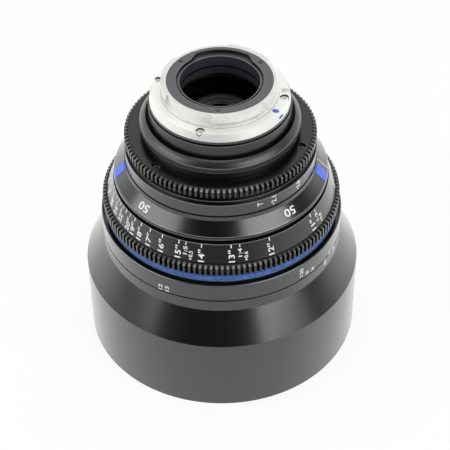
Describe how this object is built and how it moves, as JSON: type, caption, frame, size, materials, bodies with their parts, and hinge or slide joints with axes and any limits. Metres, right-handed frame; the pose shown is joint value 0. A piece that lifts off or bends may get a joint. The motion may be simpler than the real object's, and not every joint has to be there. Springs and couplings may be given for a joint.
{
  "type": "cinema prime lens",
  "caption": "Full-size cine prime lens with a wide front bell, geared focus and iris rings with scales, and a steel bayonet mount, standing on its front rim.",
  "frame": {"origin": "centre of the front rim, on the plane it stands on", "axes": "+Z along the optical axis from the front rim to the camera mount; -Y is the side of the picture, with the focus numbers 13 and 14 nearly facing it"},
  "size_m": [0.134, 0.134, 0.1464],
  "materials": {
    "brushed_mount_steel": "circular-brushed stainless steel",
    "screw_steel": "machined steel",
    "shim_steel": "blackened steel",
    "grey_baffle": "grey matt coating",
    "matt_black": "matt black coating",
    "blue_anodised": "blue anodised, fine turned",
    "scale_black": "satin black anodised, engraved scales",
    "gear_black": "satin black anodised teeth",
    "bell_black": "satin dark grey anodised, fine turned",
    "coated_glass": "multi-coated optical glass",
    "blade_steel": "blackened spring steel",
    "brass": "machined brass",
    "plain_steel": "ground steel",
    "inner_black": "black anodised"
  },
  "bodies": {
    "housing": {"mount_ring": "brushed_mount_steel", "mount_screws": "screw_steel", "mount_shim": "shim_steel", "light_stop": "matt_black", "rear_baffle": "grey_baffle", "baffle_screws": "screw_steel", "mount_base": "inner_black", "rear_collar": "inner_black", "main_barrel": "inner_black", "index_ring": "scale_black", "guide_sleeve": "inner_black", "front_plate": "inner_black", "front_barrel": "scale_black", "front_bell": "bell_black", "hood_liner": "matt_black", "barrel_screws": "screw_steel", "focus_stop_block": "inner_black"},
    "focus_ring": {"focus_carrier": "inner_black", "focus_stop_pin": "plain_steel", "focus_helicoid": "brass", "helicoid_screws": "screw_steel", "blue_trim_ring": "blue_anodised", "focus_gear_ring": "gear_black", "focus_scale_ring": "scale_black"},
    "iris_ring": {"iris_scale_ring": "scale_black", "iris_gear_ring": "gear_black", "iris_gear_screws": "screw_steel", "iris_fork": "plain_steel"},
    "optical_cell": {"front_cell": "inner_black", "cell_rollers": "brass", "rear_cell": "inner_black", "front_retaining_ring": "inner_black", "front_spacer": "inner_black", "middle_retaining_ring": "inner_black", "rear_spacer": "inner_black", "rear_retaining_ring": "inner_black", "front_element": "coated_glass", "front_doublet": "coated_glass", "rear_doublet": "coated_glass", "rear_inner_element": "coated_glass", "rear_outer_element": "coated_glass", "iris_base_plate": "matt_black"},
    "drive_ring": {"iris_drive_ring": "plain_steel"},
    "blade_ring": {"iris_blade_ring": "matt_black"},
    "blade_01": {"iris_blade_01": "blade_steel"},
    "blade_02": {"iris_blade_02": "blade_steel"},
    "blade_03": {"iris_blade_03": "blade_steel"},
    "blade_04": {"iris_blade_04": "blade_steel"},
    "blade_05": {"iris_blade_05": "blade_steel"},
    "blade_06": {"iris_blade_06": "blade_steel"},
    "blade_07": {"iris_blade_07": "blade_steel"},
    "blade_08": {"iris_blade_08": "blade_steel"},
    "blade_09": {"iris_blade_09": "blade_steel"},
    "blade_10": {"iris_blade_10": "blade_steel"},
    "blade_11": {"iris_blade_11": "blade_steel"},
    "blade_12": {"iris_blade_12": "blade_steel"},
    "blade_13": {"iris_blade_13": "blade_steel"},
    "blade_14": {"iris_blade_14": "blade_steel"}
  },
  "joints": [
    {"name": "focus_turn", "type": "hinge", "parent": "housing", "child": "focus_ring", "pos_m": [0, 0, 0.08], "axis": [0, 0, 1], "range_deg": [-12, 288]},
    {"name": "cell_slide", "type": "slide", "parent": "housing", "child": "optical_cell", "axis": [0, 0, 1], "range_m": [-0.0009, 0.02115]},
    {"name": "iris_turn", "type": "hinge", "parent": "housing", "child": "iris_ring", "pos_m": [0, 0, 0.112], "axis": [0, 0, 1], "range_deg": [-74, 45]},
    {"name": "drive_ring_turn", "type": "hinge", "parent": "optical_cell", "child": "drive_ring", "pos_m": [0, 0, 0.1], "axis": [0, 0, 1], "range_deg": [-74.2, 45.2]},
    {"name": "blade_ring_turn", "type": "hinge", "parent": "optical_cell", "child": "blade_ring", "pos_m": [0, 0, 0.0985], "axis": [0, 0, 1], "range_deg": [-2.4, 3.95]},
    {"name": "blade_01_swing", "type": "hinge", "parent": "optical_cell", "child": "blade_01", "pos_m": [0, -0.0175, 0.0965], "axis": [0, 0, 1], "range_deg": [-14.9, 24.45]},
    {"name": "blade_02_swing", "type": "hinge", "parent": "optical_cell", "child": "blade_02", "pos_m": [0.00759, -0.01577, 0.0965], "axis": [0, 0, 1], "range_deg": [-14.9, 24.45]},
    {"name": "blade_03_swing", "type": "hinge", "parent": "optical_cell", "child": "blade_03", "pos_m": [0.01368, -0.01091, 0.0965], "axis": [0, 0, 1], "range_deg": [-14.9, 24.45]},
    {"name": "blade_04_swing", "type": "hinge", "parent": "optical_cell", "child": "blade_04", "pos_m": [0.01706, -0.00389, 0.0965], "axis": [0, 0, 1], "range_deg": [-14.9, 24.45]},
    {"name": "blade_05_swing", "type": "hinge", "parent": "optical_cell", "child": "blade_05", "pos_m": [0.01706, 0.00389, 0.0965], "axis": [0, 0, 1], "range_deg": [-14.9, 24.45]},
    {"name": "blade_06_swing", "type": "hinge", "parent": "optical_cell", "child": "blade_06", "pos_m": [0.01368, 0.01091, 0.0965], "axis": [0, 0, 1], "range_deg": [-14.9, 24.45]},
    {"name": "blade_07_swing", "type": "hinge", "parent": "optical_cell", "child": "blade_07", "pos_m": [0.00759, 0.01577, 0.0965], "axis": [0, 0, 1], "range_deg": [-14.9, 24.45]},
    {"name": "blade_08_swing", "type": "hinge", "parent": "optical_cell", "child": "blade_08", "pos_m": [0, 0.0175, 0.0965], "axis": [0, 0, 1], "range_deg": [-14.9, 24.45]},
    {"name": "blade_09_swing", "type": "hinge", "parent": "optical_cell", "child": "blade_09", "pos_m": [-0.00759, 0.01577, 0.0965], "axis": [0, 0, 1], "range_deg": [-14.9, 24.45]},
    {"name": "blade_10_swing", "type": "hinge", "parent": "optical_cell", "child": "blade_10", "pos_m": [-0.01368, 0.01091, 0.0965], "axis": [0, 0, 1], "range_deg": [-14.9, 24.45]},
    {"name": "blade_11_swing", "type": "hinge", "parent": "optical_cell", "child": "blade_11", "pos_m": [-0.01706, 0.00389, 0.0965], "axis": [0, 0, 1], "range_deg": [-14.9, 24.45]},
    {"name": "blade_12_swing", "type": "hinge", "parent": "optical_cell", "child": "blade_12", "pos_m": [-0.01706, -0.00389, 0.0965], "axis": [0, 0, 1], "range_deg": [-14.9, 24.45]},
    {"name": "blade_13_swing", "type": "hinge", "parent": "optical_cell", "child": "blade_13", "pos_m": [-0.01368, -0.01091, 0.0965], "axis": [0, 0, 1], "range_deg": [-14.9, 24.45]},
    {"name": "blade_14_swing", "type": "hinge", "parent": "optical_cell", "child": "blade_14", "pos_m": [-0.00759, -0.01577, 0.0965], "axis": [0, 0, 1], "range_deg": [-14.9, 24.45]}
  ],
  "couplings": [
    {"joint": "cell_slide", "follows": "focus_turn", "m_per_rad": 0.0042017},
    {"joint": "drive_ring_turn", "follows": "iris_turn", "ratio": 1},
    {"joint": "blade_ring_turn", "follows": "iris_turn", "ratio": -0.052521},
    {"joint": "blade_01_swing", "follows": "iris_turn", "ratio": -0.32941},
    {"joint": "blade_02_swing", "follows": "iris_turn", "ratio": -0.32941},
    {"joint": "blade_03_swing", "follows": "iris_turn", "ratio": -0.32941},
    {"joint": "blade_04_swing", "follows": "iris_turn", "ratio": -0.32941},
    {"joint": "blade_05_swing", "follows": "iris_turn", "ratio": -0.32941},
    {"joint": "blade_06_swing", "follows": "iris_turn", "ratio": -0.32941},
    {"joint": "blade_07_swing", "follows": "iris_turn", "ratio": -0.32941},
    {"joint": "blade_08_swing", "follows": "iris_turn", "ratio": -0.32941},
    {"joint": "blade_09_swing", "follows": "iris_turn", "ratio": -0.32941},
    {"joint": "blade_10_swing", "follows": "iris_turn", "ratio": -0.32941},
    {"joint": "blade_11_swing", "follows": "iris_turn", "ratio": -0.32941},
    {"joint": "blade_12_swing", "follows": "iris_turn", "ratio": -0.32941},
    {"joint": "blade_13_swing", "follows": "iris_turn", "ratio": -0.32941},
    {"joint": "blade_14_swing", "follows": "iris_turn", "ratio": -0.32941}
  ]
}
